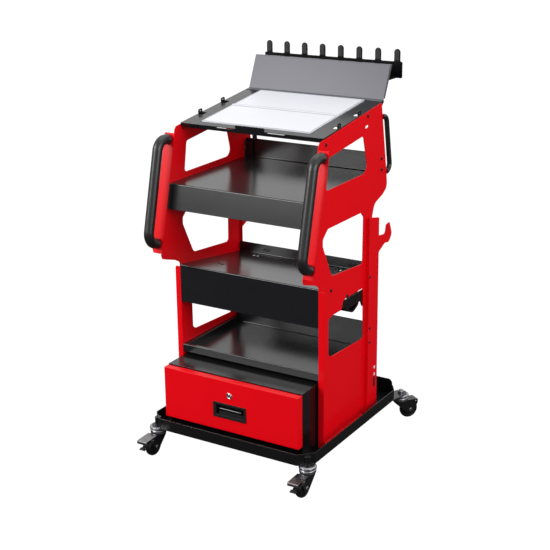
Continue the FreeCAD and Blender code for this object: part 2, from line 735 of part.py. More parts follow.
def drawer():
    front = block(
        "front_outer", "0 - cabinetHalf", "cabinetHalf", "panelFront + drawerFrontY",
        "panelFront + drawerFrontY + drawerFrontDepth - 0.6", "drawerBottomZ", "drawerTopZ",
    )
    hollow = block(
        "front_inner", "thinWall - cabinetHalf", "cabinetHalf - thinWall",
        "panelFront + drawerFrontY + thinWall", "panelFront + drawerFrontY + 60",
        "drawerBottomZ + thinWall", "drawerTopZ - thinWall",
    )
    pull_hole = block(
        "pull_hole", "3 - pullHalf", "pullHalf - 3", "panelFront + drawerFrontY - 5",
        "panelFront + drawerFrontY + 10", "pullBottomZ + 3", "pullTopZ - 3",
    )
    lock_hole = rod("lock_hole", "8", "20", "0", "panelFront + drawerFrontY - 5", "lockZ", (0, 1, 0))
    skin = cut("front_skin", front, fuse("front_openings", [hollow, pull_hole, lock_hole]))
    softened = doc.addObject("Part::Fillet", "front_rounded")
    softened.Base = skin
    doc.recompute()
    low, high = size("drawerBottomZ"), size("drawerTopZ")
    face = back(size("drawerFrontY"))
    chosen = []
    for index, edge in enumerate(skin.Shape.Edges, start=1):
        box = edge.BoundBox
        outer_x = abs(abs(box.Center.x) - size("cabinetHalf")) < 0.01
        outer_z = min(abs(box.ZMin - low), abs(box.ZMax - high)) < 0.01 and box.ZLength < 0.01
        if abs(box.YMax - face) < 0.01 and box.YLength < 0.01 and (outer_x or outer_z):
            chosen.append((index, 1.2, 1.2))
    softened.Edges = chosen
    node(softened, "drawer_front")

    tub = block(
        "box_outer", "0 - boxHalf", "boxHalf", "panelFront + drawerFrontY + drawerFrontDepth - 0.6",
        "panelFront + boxRearY", "boxBottomZ", "boxTopZ",
    )
    space = block(
        "box_inner", "thinWall - boxHalf", "boxHalf - thinWall",
        "panelFront + drawerFrontY + drawerFrontDepth + 0.9", "panelFront + boxRearY - thinWall",
        "boxBottomZ + thinWall", "boxTopZ + 10",
    )
    box_hole = rod("box_lock", "8", "60", "0", "panelFront + drawerFrontY - 5", "lockZ", (0, 1, 0))
    node(cut("box_shell", tub, fuse("box_openings", [space, box_hole])), "drawer_box")
    liner = block(
        "liner", "thinWall - cabinetHalf", "cabinetHalf - thinWall",
        "panelFront + drawerFrontY + drawerFrontDepth - 2.1",
        "panelFront + drawerFrontY + drawerFrontDepth - 0.6", "drawerBottomZ + thinWall",
        "drawerTopZ - thinWall",
    )
    liner_holes = fuse("liner_holes", [
        block(
            "liner_pull", "3 - pullHalf", "pullHalf - 3", "panelFront + drawerFrontY",
            "panelFront + drawerFrontY + 60", "pullBottomZ + 3", "pullTopZ - 3",
        ),
        rod("liner_lock", "8", "60", "0", "panelFront + drawerFrontY - 5", "lockZ", (0, 1, 0)),
    ])
    node(cut("liner_cut", liner, liner_holes), "drawer_front_liner")
    recess_pull()
    lock()
    drawer_slides()


def recess_pull():
    """Dished pull with a rim on the face, a bowl behind it and a finger bar across it."""
    rim = block(
        "pull_rim", "0 - pullHalf", "pullHalf", "panelFront + drawerFrontY - 2",
        "panelFront + drawerFrontY", "pullBottomZ", "pullTopZ",
    )
    bowl = block(
        "pull_bowl", "3 - pullHalf", "pullHalf - 3", "panelFront + drawerFrontY - 1",
        "panelFront + drawerFrontY + 22", "pullBottomZ + 3", "pullTopZ - 3",
    )
    dish = block(
        "pull_dish", "11 - pullHalf", "pullHalf - 7", "panelFront + drawerFrontY - 5",
        "panelFront + drawerFrontY + 20", "pullBottomZ + 9", "pullTopZ - 7",
    )
    shell = cut("pull_shell", fuse("pull_solid", [rim, bowl]), dish)
    bar = block(
        "pull_bar", "20 - pullHalf", "pullHalf - 5", "panelFront + drawerFrontY - 1.6",
        "panelFront + drawerFrontY + 3", "pullBottomZ + 8", "pullBottomZ + 21",
    )
    node(fuse("pull_joined", [shell, bar]), "recess_pull")


def lock():
    """Cam lock: collar fixed in the front, plug that turns in it and cam on the plug."""
    radius = size("lockRadius")
    collar = turned("lock_collar", [
        (6.05, -2.2), (8.4, -2.2, 0.5), (radius, -1.2, 0.6), (radius, 0), (7.9, 0), (7.9, 24.5),
        (6.05, 24.5),
    ], "V_Axis", "XY_Plane")
    place(collar, "0", "panelFront + drawerFrontY", "lockZ")
    node(collar, "lock_collar")
    body = new_body("lock_plug_body")
    sketch = new_sketch(body, "XY_Plane", [[
        (0, -1.8), (5.4, -1.8, 0.4), (6, -1, 0.3), (6, 25.5), (0, 25.5),
    ]])
    turn = body.newObject("PartDesign::Revolution", "revolution")
    turn.Profile = sketch
    turn.ReferenceAxis = (sketch, ["V_Axis"])
    turn.Angle = 360
    keyway = new_sketch(body, "XZ_Plane", [[
        (-0.6, -3.4), (0.6, -3.4), (0.6, 3.4), (-0.6, 3.4),
    ]], offset="6")
    pocket(body, keyway, "14")
    place(body, "0", "panelFront + drawerFrontY", "lockZ")
    node(body, "lock_plug")
    cam = new_body("cam_body")
    lug = [
        (-7, -7, 4), (24, -6, 5), (24, 6, 5), (-7, 7, 4),
    ]
    pad(cam, new_sketch(cam, "XZ_Plane", [lug], offset="0 - 27.9"), "2.4")
    place(cam, "0", "panelFront + drawerFrontY", "lockZ")
    node(cam, "lock_cam")


def drawer_slides():
    """Three-member runner on each side, nested channels with clear gaps between members."""
    for side, tag in ((-1, "left"), (1, "right")):
        wall = size("cabinetHalf") - size("sheetWall")
        members = [
            ("outer", 0.0, 1.2, 9.0, 22.5), ("middle", 1.6, 2.8, 10.4, 20.9), ("inner", 13.0, 11.8, 3.4, 19.2),
        ]
        for name, web_near, web_far, lip, half in members:
            web_edge, lip_edge = side * (wall - web_near), side * (wall - lip)
            inside = side * (wall - web_far)
            middle = size("slideZ")
            outline = [
                (web_edge, middle - half), (lip_edge, middle - half), (lip_edge, middle - half + 1.2),
                (inside, middle - half + 1.2), (inside, middle + half - 1.2),
                (lip_edge, middle + half - 1.2), (lip_edge, middle + half), (web_edge, middle + half),
            ]
            rail = padded(
                "slide_%s_%s" % (name, tag), "XZ_Plane", [outline], "330",
                "0 - (panelFront + 262)",
            )
            node(rail, "slide_%s_%s" % (name, tag))


# Top tray, board and comb.
def tilt(piece, y_alias, z_alias, angle):
    """Leans a piece back about the X axis at a front edge."""
    rotation = FreeCAD.Rotation(FreeCAD.Vector(1, 0, 0), angle)
    piece.Placement = FreeCAD.Placement(FreeCAD.Vector(), rotation)
    place(piece, "0", "panelFront + %s" % y_alias, z_alias)


def top_tray():
    """Sloping tray: plate, side folds, front lip with a raised stop and four lanced tabs."""
    half, depth = size("topHalf"), size("topDepth")
    body = new_body("top_tray_body")
    plate = [(-half, 0), (half, 0), (half, depth, 6), (-half, depth, 6)]
    lances = []
    for side in (-1, 1):
        for along in (98, 221):
            lances.append([
                (side * 218, along - 11, 2), (side * 235, along - 11, 2),
                (side * 235, along + 11, 2), (side * 218, along + 11, 2),
            ])
    pad(body, new_sketch(body, "XY_Plane", [plate] + lances, offset="0 - sheetWall"), "sheetWall")
    lip = [
        (-half, -13, 3), (half, -13, 3), (half, 0), (120, 0, 1), (112, -4, 3), (60, -4, 3), (49, 0, 1),
        (49, 10, 4), (-49, 10, 4), (-49, 0, 1), (-60, -4, 3), (-112, -4, 3), (-120, 0, 1), (-half, 0),
    ]
    pad(body, new_sketch(body, "XZ_Plane", [lip], offset="0 - sheetWall"), "sheetWall")
    for side in (-1, 1):
        start = "topHalf - sheetWall" if side > 0 else "0 - topHalf"
        fold = [(0, 0), (0, -13, 3), (40, -26, 10), (depth - 40, -26, 10), (depth - 6, -4), (depth - 6, 0)]
        pad(body, new_sketch(body, "YZ_Plane", [fold], offset=start), "sheetWall")
        for along in (98, 221):
            tab_start = "235" if side > 0 else "0 - 237"
            tab = [(along - 10, -1), (along - 10, 13, 5), (along + 10, 13, 5), (along + 10, -1)]
            tab_sketch = new_sketch(
                body, "YZ_Plane", [tab], rounds=[(along, 7, 2.6)], offset=tab_start,
            )
            pad(body, tab_sketch, "sheetWall")
    tilt(body, "topFrontY", "topFrontZ", size("topTilt"))
    node(body, "top_tray")


def tray_panels():
    """Two white cover panels on the tray, with a divider strip between them."""
    covers = []
    for name, low, high in (("front", 26, 190), ("rear", 199, 358)):
        outline = [(-183, low, 3), (183, low, 3), (183, high, 3), (-183, high, 3)]
        panel = padded("white_" + name, "XY_Plane", [outline], "3")
        tilt(panel, "topFrontY", "topFrontZ", size("topTilt"))
        covers.append(panel)
    node(group("covers", covers), "display_panels")
    outline = [(-183, 190.3), (183, 190.3), (183, 198.7), (-183, 198.7)]
    divider = padded("divider", "XY_Plane", [outline], "4.2")
    tilt(divider, "topFrontY", "topFrontZ", size("topTilt"))
    node(divider, "panel_divider")


def back_board():
    """Leaning board with a base fold on the tray, side returns and a folded top."""
    lean = size("boardLean")
    high = size("boardHeight")
    body = new_body("back_board_body")
    start = "0 - boardHalf"
    slope = math.radians(lean)
    rise = FreeCAD.Vector(math.sin(slope), math.cos(slope), 0)
    foot_y, foot_z = back(size("boardBottomY")), size("boardBottomZ")
    crown = (foot_y + rise.x * high, foot_z + rise.y * high)
    drop = math.tan(math.radians(size("topTilt")))
    line = [
        (foot_y - 14, foot_z - 14 * drop), (foot_y, foot_z, 2), (crown[0], crown[1], 2),
        (crown[0] + 13, crown[1] - 1),
    ]
    profile = strip(line[::-1], size("thinWall"))
    pad(body, new_sketch(body, "YZ_Plane", [profile], offset=start), "2 * boardHalf")
    for edge in ("0 - boardHalf", "boardHalf - thinWall"):
        side = [
            (foot_y + 2, foot_z + 2), (crown[0] + 0.6, crown[1] - 1.2),
            (crown[0] + 11, crown[1] - 3, 2), (foot_y + 11, foot_z + 4, 3),
        ]
        pad(body, new_sketch(body, "YZ_Plane", [side], offset=edge), "thinWall")
    node(body, "back_board")


def hook_comb():
    """Upright plate behind the board with eight round-topped fingers, on a shelf fold."""
    half = size("combHalf")
    low, high, top = size("combBottomZ"), size("combTopZ"), size("fingerTopZ")
    width = size("fingerWidth") / 2
    pitch = size("fingerPitch")
    outline = [(-half, low, 4), (half, low, 4)]
    outline.append((half, high, 3))
    for index in range(8):
        middle = pitch * (3.5 - index)
        outline += [
            (middle + width, high, 3), (middle + width, top, width - 0.02),
            (middle - width, top, width - 0.02), (middle - width, high, 3),
        ]
    outline.append((-half, high, 3))
    body = new_body("comb_body")
    pad(body, new_sketch(body, "XZ_Plane", [outline], offset="0 - (panelFront + combY)"), "2.5")
    reach = back(size("combY"))
    lean = math.radians(size("boardLean"))
    rise = (low - size("boardBottomZ")) * math.tan(lean)
    front = back(size("boardBottomY")) + rise + size("thinWall") / math.cos(lean)
    fold = [(front, low), (reach - 1, low), (reach - 1, low + 2), (front + 0.9, low + 2)]
    pad(body, new_sketch(body, "YZ_Plane", [fold], offset="0 - 225"), "450")
    node(body, "hook_comb")
    sleeves = []
    for index in range(8):
        middle = pitch * (3.5 - index)
        face = [
            (middle + width - 2.6, high + 4, 3), (middle + width - 2.6, top - 2.6, width - 2.7),
            (middle - width + 2.6, top - 2.6, width - 2.7), (middle - width + 2.6, high + 4, 3),
        ]
        sleeves.append(padded("pad", "XZ_Plane", [face], "1.2", "2.5 - (panelFront + combY)"))
    node(group("comb_pads_group", sleeves), "comb_pads")


def tool_cup():
    """Folded holder under the middle shelf: a mounting strip and a round-bottomed cradle."""
    body = new_body("cup_body")
    plate = [
        (back(150), 503, 6), (back(296), 503, 6), (back(296), 450, 4), (back(268), 450, 4),
        (back(258), 470, 8), (back(160), 470, 8),
    ]
    pad(body, new_sketch(body, "YZ_Plane", [plate], offset="shelfHalf - 2"), "2")
    cradle = [
        (back(170), 500), (back(176), 462, 18), (back(213), 446, 30), (back(250), 462, 18),
        (back(256), 500), (back(253), 500), (back(247), 465, 15), (back(213), 449.4, 27),
        (back(179), 465, 15), (back(173), 500),
    ]
    pad(body, new_sketch(body, "YZ_Plane", [cradle], offset="shelfHalf - 42"), "41")
    node(body, "tool_cup")


base_frame()
casters()
for side, tag in ((-1, "left"), (1, "right")):
    side_panel(side, tag)
    rear_post(side, tag)
    push_handle(side, tag)
    rear_handle(side, tag)
panel_bolts()
upper_shelf()
middle_shelf()
lower_tray()
drawer_cabinet()
drawer()
top_tray()
tray_panels()
back_board()
hook_comb()
tool_cup()
doc.recompute()

failed = [
    "%s in %s" % (thing.Name, [parent.Label for parent in thing.InList])
    for thing in doc.Objects
    if "Invalid" in thing.State or "Error" in thing.State
]
if failed:
    raise SystemExit("failed: %s" % failed)
whole = None
for piece in NODES:
    shape = piece.Shape
    if shape.isNull() or not shape.isValid() or shape.Volume <= 0:
        raise SystemExit("bad shape: %s" % piece.Label)
    shape.exportStep("parts/%s.step" % piece.Label)
    print("%-26s %2d solids %10.1f mm3" % (piece.Label, len(shape.Solids), shape.Volume))
    whole = shape.BoundBox if whole is None else whole.united(shape.BoundBox)
print("box", whole)
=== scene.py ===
import json
import math
import bmesh
import bpy
from mathutils import Matrix, Vector


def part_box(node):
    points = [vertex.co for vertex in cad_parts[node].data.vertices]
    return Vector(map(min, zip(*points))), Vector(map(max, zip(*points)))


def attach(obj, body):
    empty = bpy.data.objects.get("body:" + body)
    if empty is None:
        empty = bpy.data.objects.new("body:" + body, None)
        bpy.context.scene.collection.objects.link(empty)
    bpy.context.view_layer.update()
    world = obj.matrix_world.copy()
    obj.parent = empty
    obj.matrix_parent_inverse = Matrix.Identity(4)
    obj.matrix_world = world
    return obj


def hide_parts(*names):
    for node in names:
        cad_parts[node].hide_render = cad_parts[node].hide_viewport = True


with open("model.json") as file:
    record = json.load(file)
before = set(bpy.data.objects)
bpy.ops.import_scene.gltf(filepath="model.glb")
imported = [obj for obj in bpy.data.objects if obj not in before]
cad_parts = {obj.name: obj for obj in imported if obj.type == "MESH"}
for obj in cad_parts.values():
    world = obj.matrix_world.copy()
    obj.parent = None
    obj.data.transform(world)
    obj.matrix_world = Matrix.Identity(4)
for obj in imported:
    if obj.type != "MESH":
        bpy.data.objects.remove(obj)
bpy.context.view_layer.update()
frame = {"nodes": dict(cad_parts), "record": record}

scene = bpy.context.scene
nodes = frame["nodes"]
print("frame loaded,", len(nodes), "nodes")

# small helpers


def linear(red, green, blue):
    # screen colour in 0-255 to scene linear
    values = []
    for channel in (red, green, blue):
        part = channel / 255
        values.append(part / 12.92 if part <= 0.04045 else ((part + 0.055) / 1.055) ** 2.4)
    return (*values, 1.0)


def addObject(name, mesh, material):
    piece = bpy.data.objects.new(name, mesh)
    scene.collection.objects.link(piece)
    mesh.materials.append(material)
    return piece


def meshFrom(name, bm, smooth=True):
    mesh = bpy.data.meshes.new(name)
    bm.normal_update()
    bm.to_mesh(mesh)
    bm.free()
    if smooth:
        mesh.polygons.foreach_set("use_smooth", [True] * len(mesh.polygons))
    return mesh


def addPiece(name, bm, finish, body, smooth=True):
    # visible detail that moves with a body and belongs to one material slot
    piece = addObject(name, meshFrom(name, bm, smooth), materials[finish])
    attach(piece, body)
    return piece


def shadeByAngle(piece, degrees):
    mesh = piece.data
    mesh.polygons.foreach_set("use_smooth", [True] * len(mesh.polygons))
    mesh.set_sharp_from_angle(angle=math.radians(degrees))


def softenEdges(piece, width, segments=2):
    bevel = piece.modifiers.new("softEdges", "BEVEL")
    bevel.width = width
    bevel.segments = segments
    bevel.limit_method = "ANGLE"
    bevel.angle_limit = math.radians(30)
    bevel.harden_normals = True


def jointsNamed(prefix):
    # joints of one kind, each after the name of the corner it belongs to
    joints = frame["record"]["behaviour"]["joints"]
    return [(joint["name"][len(prefix):], joint) for joint in joints if joint["name"].startswith(prefix)]


# camera, floor and light

cameraSet = {
    "azimuth": 31.23, "elevation": 17.87, "roll": -0.51, "distance": 3.58811,
    "lens": 79.176, "target": (0.05917, -0.0713, 0.59818), "shift": (-0.01251, -0.01716),
}


def makeCamera():
    azimuth, elevation, roll = (math.radians(cameraSet[key]) for key in ("azimuth", "elevation", "roll"))
    away = Vector((
        math.sin(azimuth) * math.cos(elevation), -math.cos(azimuth) * math.cos(elevation),
        math.sin(elevation),
    ))
    right = Vector((math.cos(azimuth), math.sin(azimuth), 0))
    up = away.cross(right)
    turnedRight = right * math.cos(roll) + up * math.sin(roll)
    turnedUp = up * math.cos(roll) - right * math.sin(roll)
    data = bpy.data.cameras.new("viewCamera")
    data.lens = cameraSet["lens"]
    data.sensor_width = 36
    data.shift_x, data.shift_y = cameraSet["shift"]
    data.clip_end = 50
    camera = bpy.data.objects.new("viewCamera", data)
    place = Matrix((turnedRight, turnedUp, away)).transposed().to_4x4()
    place.translation = Vector(cameraSet["target"]) + away * cameraSet["distance"]
    camera.matrix_world = place
    scene.collection.objects.link(camera)
    scene.camera = camera


lightSet = {
    "aheadLevel": 0.8, "behindLevel": 1.05, "aboveLevel": 0.95, "belowLevel": 0.5,
    "fadeFrom": -0.35, "fadeTo": 0.45, "aim": (0, 0, 0.55),
    "key": {"at": (-1.9, -2.7, 2.3), "size": 1.7, "power": 90},
    "fill": {"at": (3.2, -0.9, 1.7), "size": 1.5, "power": 44},
    "top": {"at": (0.1, 0.6, 3.4), "size": 1.9, "power": 14},
}


def makeWorld():
    # bright behind and above, dim ahead and below, and plain white to the camera
    world = bpy.data.worlds.new("studioWorld")
    world.use_nodes = True
    tree = world.node_tree
    background = tree.nodes["Background"]
    coords = tree.nodes.new("ShaderNodeTexCoord")
    split = tree.nodes.new("ShaderNodeSeparateXYZ")
    tree.links.new(coords.outputs["Generated"], split.inputs[0])
    both = tree.nodes.new("ShaderNodeMath")
    both.operation = "MULTIPLY"
    fades = (("Y", "aheadLevel", "behindLevel"), ("Z", "belowLevel", "aboveLevel"))
    for index, (axis, lowLevel, highLevel) in enumerate(fades):
        spread = tree.nodes.new("ShaderNodeMapRange")
        spread.interpolation_type = "SMOOTHSTEP"
        spread.inputs["From Min"].default_value = lightSet["fadeFrom"]
        spread.inputs["From Max"].default_value = lightSet["fadeTo"]
        spread.inputs["To Min"].default_value = lightSet[lowLevel]
        spread.inputs["To Max"].default_value = lightSet[highLevel]
        tree.links.new(split.outputs[axis], spread.inputs["Value"])
        tree.links.new(spread.outputs["Result"], both.inputs[index])
    rays = tree.nodes.new("ShaderNodeLightPath")
    seen = tree.nodes.new("ShaderNodeMath")
    seen.operation = "MAXIMUM"
    tree.links.new(rays.outputs["Is Camera Ray"], seen.inputs[0])
    tree.links.new(both.outputs[0], seen.inputs[1])
    tree.links.new(seen.outputs[0], background.inputs["Strength"])
    background.inputs["Color"].default_value = (1, 1, 1, 1)
    scene.world = world


def makeLights():
    for name in ("key", "fill", "top"):
        values = lightSet[name]
        data = bpy.data.lights.new(name + "Light", "AREA")
        data.shape = "SQUARE"
        data.size = values["size"]
        data.energy = values["power"]
        lamp = bpy.data.objects.new(name + "Light", data)
        lamp.location = values["at"]
        aim = Vector(lightSet["aim"]) - Vector(values["at"])
        lamp.rotation_euler = aim.to_track_quat("-Z", "Y").to_euler()
        scene.collection.objects.link(lamp)
    scene.view_settings.view_transform = "Standard"
    scene.view_settings.look = "None"


sweep = {"half": 14, "drop": 0.0006, "grey": 0.06}


def makeFloor():
    # white sweep: it lights the underside a little and looks plain white from the camera
    bm = bmesh.new()
    bmesh.ops.create_grid(bm, x_segments=8, y_segments=8, size=sweep["half"])
    material = bpy.data.materials.new("whiteSweep")
    material.use_nodes = True
    tree = material.node_tree
    shader = tree.nodes["Principled BSDF"]
    shader.inputs["Base Color"].default_value = (sweep["grey"], sweep["grey"], sweep["grey"], 1)
    shader.inputs["Roughness"].default_value = 0.9
    shader.inputs["Specular IOR Level"].default_value = 0.0
    shader.inputs["Emission Color"].default_value = (1, 1, 1, 1)
    rays = tree.nodes.new("ShaderNodeLightPath")
    tree.links.new(rays.outputs["Is Camera Ray"], shader.inputs["Emission Strength"])
    floor = addObject("studioFloor", meshFrom("studioFloor", bm), material)
    floor.location.z = -sweep["drop"]


makeWorld()
makeCamera()
makeLights()
makeFloor()
print("camera, light and floor ready")

# shader groups


def newGroup(name, inputs):
    # every group gives a colour, a roughness and a normal, and works in object coordinates
    tree = bpy.data.node_groups.new(name, "ShaderNodeTree")
    for label, kind, value in inputs:
        socket = tree.interface.new_socket(name=label, in_out="INPUT", socket_type="NodeSocket" + kind)
        socket.default_value = value
    for label, kind in (("Colour", "Color"), ("Roughness", "Float"), ("Normal", "Vector")):
        tree.interface.new_socket(name=label, in_out="OUTPUT", socket_type="NodeSocket" + kind)
    given = tree.nodes.new("NodeGroupInput").outputs
    out = tree.nodes.new("NodeGroupOutput").inputs
    coords = tree.nodes.new("ShaderNodeTexCoord").outputs["Object"]
    return tree, given, out, coords


def addNode(tree, kind, settings=None, **values):
    made = tree.nodes.new(kind)
    for key, value in (settings or {}).items():
        setattr(made, key, value)
    for key, value in values.items():
        made.inputs[key].default_value = value
    return made


def addNoise(tree, coords, **values):
    made = addNode(tree, "ShaderNodeTexNoise", **values)
    tree.links.new(coords, made.inputs["Vector"])
    return made.outputs["Fac"]


def maths(tree, operation, *values):
    made = addNode(tree, "ShaderNodeMath", {"operation": operation})
    for index, value in enumerate(values):
        if isinstance(value, float):
            made.inputs[index].default_value = value
        else:
            tree.links.new(value, made.inputs[index])
    return made.outputs[0]


def mixColour(tree, factor, first, second):
    made = addNode(tree, "ShaderNodeMix", {"data_type": "RGBA"})
    for name, value in (("Factor", factor), ("A", first), ("B", second)):
        socket = [item for item in made.inputs if item.name == name and item.enabled][0]
        if isinstance(value, tuple):
            socket.default_value = value
        else:
            tree.links.new(value, socket)
    return [item for item in made.outputs if item.enabled][0]


def scaleColour(tree, colour, amount):
    made = addNode(tree, "ShaderNodeVectorMath", {"operation": "SCALE"})
    tree.links.new(colour, made.inputs[0])
    tree.links.new(amount, made.inputs["Scale"])
    return made.outputs[0]


def linkBump(tree, out, soft, height, strength, distance):
    # bump over softened edges, sent to the normal of the group
    bump = addNode(tree, "ShaderNodeBump", Distance=distance)
    tree.links.new(strength, bump.inputs["Strength"])
    tree.links.new(height, bump.inputs["Height"])
    tree.links.new(soft.outputs[0], bump.inputs["Normal"])
    tree.links.new(bump.outputs[0], out["Normal"])


def makeCoatGroup():
    # powder coat: orange peel, cloudy colour, settled dust and thin wear on the folds
    tree, given, out, coords = newGroup("coatedSheet", [
        ("Colour", "Color", (0.5, 0.5, 0.5, 1)), ("Worn Colour", "Color", (0.6, 0.6, 0.6, 1)),
        ("Roughness", "Float", 0.4), ("Peel", "Float", 0.5), ("Dust", "Float", 0.1),
        ("Wear", "Float", 0.3), ("Fold", "Float", 0.0012),
    ])
    link = tree.links.new
    soft = addNode(tree, "ShaderNodeBevel", {"samples": 6})
    link(given["Fold"], soft.inputs["Radius"])
    flat = addNode(tree, "ShaderNodeNewGeometry").outputs["Normal"]
    facing = addNode(tree, "ShaderNodeVectorMath", {"operation": "DOT_PRODUCT"})
    link(soft.outputs[0], facing.inputs[0])
    link(flat, facing.inputs[1])
    edge = maths(tree, "SUBTRACT", 1.0, facing.outputs["Value"])
    chips = addNoise(tree, coords, Scale=140.0, Detail=4.0, Roughness=0.7)
    chipMask = maths(tree, "MULTIPLY", maths(tree, "GREATER_THAN", chips, 0.56), edge)
    chipped = maths(tree, "MINIMUM", maths(tree, "MULTIPLY", chipMask, 4.0), 1.0)
    worn = maths(tree, "MULTIPLY", chipped, given["Wear"])
    cloud = addNoise(tree, coords, Scale=5.0, Detail=3.0, Roughness=0.55)
    shade = maths(tree, "ADD", maths(tree, "MULTIPLY", cloud, 0.12), 0.94)
    shaded = scaleColour(tree, given["Colour"], shade)
    split = addNode(tree, "ShaderNodeSeparateXYZ")
    link(flat, split.inputs[0])
    specks = addNoise(tree, coords, Scale=60.0, Detail=6.0, Roughness=0.75)
    settled = maths(tree, "MULTIPLY", maths(tree, "MAXIMUM", split.outputs["Z"], 0.0), specks)
    dusty = maths(tree, "MULTIPLY", settled, given["Dust"])
    withDust = mixColour(tree, dusty, shaded, (0.55, 0.54, 0.52, 1))
    link(mixColour(tree, worn, withDust, given["Worn Colour"]), out["Colour"])
    peel = addNoise(tree, coords, Scale=520.0, Detail=2.0, Roughness=0.5)
    wave = addNoise(tree, coords, Scale=26.0, Detail=1.0)
    height = maths(tree, "ADD", peel, maths(tree, "MULTIPLY", wave, 2.0))
    linkBump(tree, out, soft, height, given["Peel"], 0.00012)
    roughened = maths(tree, "ADD", given["Roughness"], maths(tree, "MULTIPLY", dusty, 0.6))
    clouded = maths(tree, "MULTIPLY", maths(tree, "SUBTRACT", cloud, 0.5), 0.08)
    varied = maths(tree, "ADD", roughened, clouded)
    link(maths(tree, "ADD", varied, maths(tree, "MULTIPLY", worn, 0.15)), out["Roughness"])
    return tree


def makeGrainGroup():
    # moulded plastic, rubber and foam: two sizes of grain and a faint mottle
    tree, given, out, coords = newGroup("mouldedGrain", [
        ("Colour", "Color", (0.05, 0.05, 0.05, 1)), ("Roughness", "Float", 0.5),
        ("Grain Size", "Float", 900.0), ("Depth", "Float", 0.4), ("Mottle", "Float", 0.2),
    ])
    link = tree.links.new
    cells = addNode(tree, "ShaderNodeTexVoronoi", {"feature": "F1"})
    link(coords, cells.inputs["Vector"])
    link(given["Grain Size"], cells.inputs["Scale"])
    fine = addNoise(tree, coords, Scale=1500.0, Detail=3.0)
    height = maths(tree, "ADD", cells.outputs["Distance"], maths(tree, "MULTIPLY", fine, 0.5))
    soft = addNode(tree, "ShaderNodeBevel", {"samples": 4}, Radius=0.0006)
    linkBump(tree, out, soft, height, given["Depth"], 0.0002)
    patches = addNoise(tree, coords, Scale=22.0, Detail=4.0, Roughness=0.6)
    shift = maths(tree, "MULTIPLY", maths(tree, "SUBTRACT", patches, 0.5), given["Mottle"])
    link(scaleColour(tree, given["Colour"], maths(tree, "ADD", shift, 1.0)), out["Colour"])
    rougher = maths(tree, "MULTIPLY", shift, 0.5)
    link(maths(tree, "ADD", given["Roughness"], rougher), out["Roughness"])
    return tree


def makePlateGroup():
    # plated or bare metal: drawn lines, a cloudy tarnish and softened edges
    tree, given, out, coords = newGroup("platedMetal", [
        ("Colour", "Color", (0.7, 0.7, 0.72, 1)), ("Roughness", "Float", 0.25),
        ("Lines", "Float", 0.3), ("Tarnish", "Float", 0.2),
    ])
    link = tree.links.new
    stretch = addNode(tree, "ShaderNodeMapping", Scale=(40.0, 40.0, 1600.0))
    link(coords, stretch.inputs["Vector"])
    lines = addNoise(tree, stretch.outputs[0], Scale=1.0, Detail=4.0)
    soft = addNode(tree, "ShaderNodeBevel", {"samples": 4}, Radius=0.0005)
    linkBump(tree, out, soft, lines, given["Lines"], 0.00004)
    stain = addNoise(tree, coords, Scale=45.0, Detail=5.0, Roughness=0.65)
    amount = maths(tree, "MULTIPLY", stain, given["Tarnish"])
    link(scaleColour(tree, given["Colour"], maths(tree, "SUBTRACT", 1.0, amount)), out["Colour"])
    rougher = maths(tree, "MULTIPLY", amount, 0.6)
    link(maths(tree, "ADD", given["Roughness"], rougher), out["Roughness"])
    return tree


coatGroup = makeCoatGroup()
grainGroup = makeGrainGroup()
plateGroup = makePlateGroup()

# materials


def groupMaterial(name, group, values, shaderValues):
    material = bpy.data.materials.new(name)
    material.use_nodes = True
    tree = material.node_tree
    shader = tree.nodes["Principled BSDF"]
    placed = tree.nodes.new("ShaderNodeGroup")
    placed.node_tree = group
    for key, value in values.items():
        placed.inputs[key].default_value = value
    for key, value in shaderValues.items():
        shader.inputs[key].default_value = value
    for given, taken in (("Colour", "Base Color"), ("Roughness", "Roughness"), ("Normal", "Normal")):
        tree.links.new(placed.outputs[given], shader.inputs[taken])
    return material


